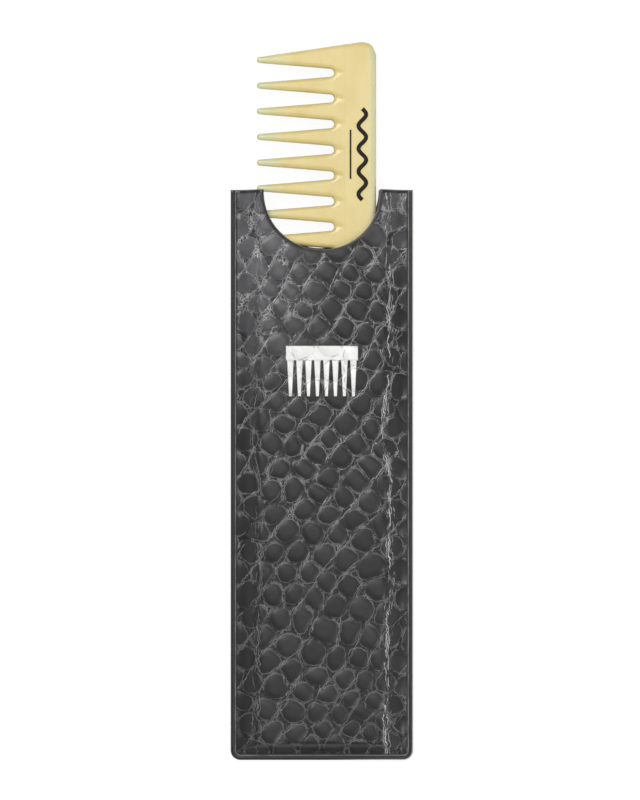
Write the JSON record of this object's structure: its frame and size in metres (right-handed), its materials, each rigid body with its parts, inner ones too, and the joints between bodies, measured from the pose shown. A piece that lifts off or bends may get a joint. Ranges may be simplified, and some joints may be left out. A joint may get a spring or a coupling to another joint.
{
  "type": "wide-tooth beard comb in a pocket sleeve",
  "caption": "Cream wide-tooth comb that slides in a black crocodile-embossed pocket sleeve with a thumb notch.",
  "frame": {"origin": "centre of the flat back face of the sleeve, which the object rests on", "axes": "+Y along the sleeve to its mouth, which is the way the comb pulls out; +Z out of the sleeve's front; +X to the right seen from the front, towards the comb's back edge"},
  "size_m": [0.057, 0.2239, 0.0073],
  "materials": {
    "comb_acetate": "polished cream cellulose acetate, slightly translucent at the tips",
    "print_ink": "flat dark pad-printing ink",
    "embossed_leatherette": "black crocodile-embossed leatherette, semi-gloss on the scales, greyer in the creases",
    "lining_fabric": "matt warm grey bonded lining",
    "white_foil": "silver-white hot-stamped foil, slightly crazed by the emboss"
  },
  "bodies": {
    "sleeve": {"front_cover": "embossed_leatherette", "front_lining": "lining_fabric", "back_cover": "embossed_leatherette", "back_lining": "lining_fabric", "foil_emblem": "white_foil"},
    "comb_body": {"comb": "comb_acetate", "spine_print": "print_ink"}
  },
  "joints": [
    {"name": "comb_slide", "type": "slide", "parent": "sleeve", "child": "comb_body", "axis": [0, 1, 0], "range_m": [-0.0535, 0.12]}
  ]
}
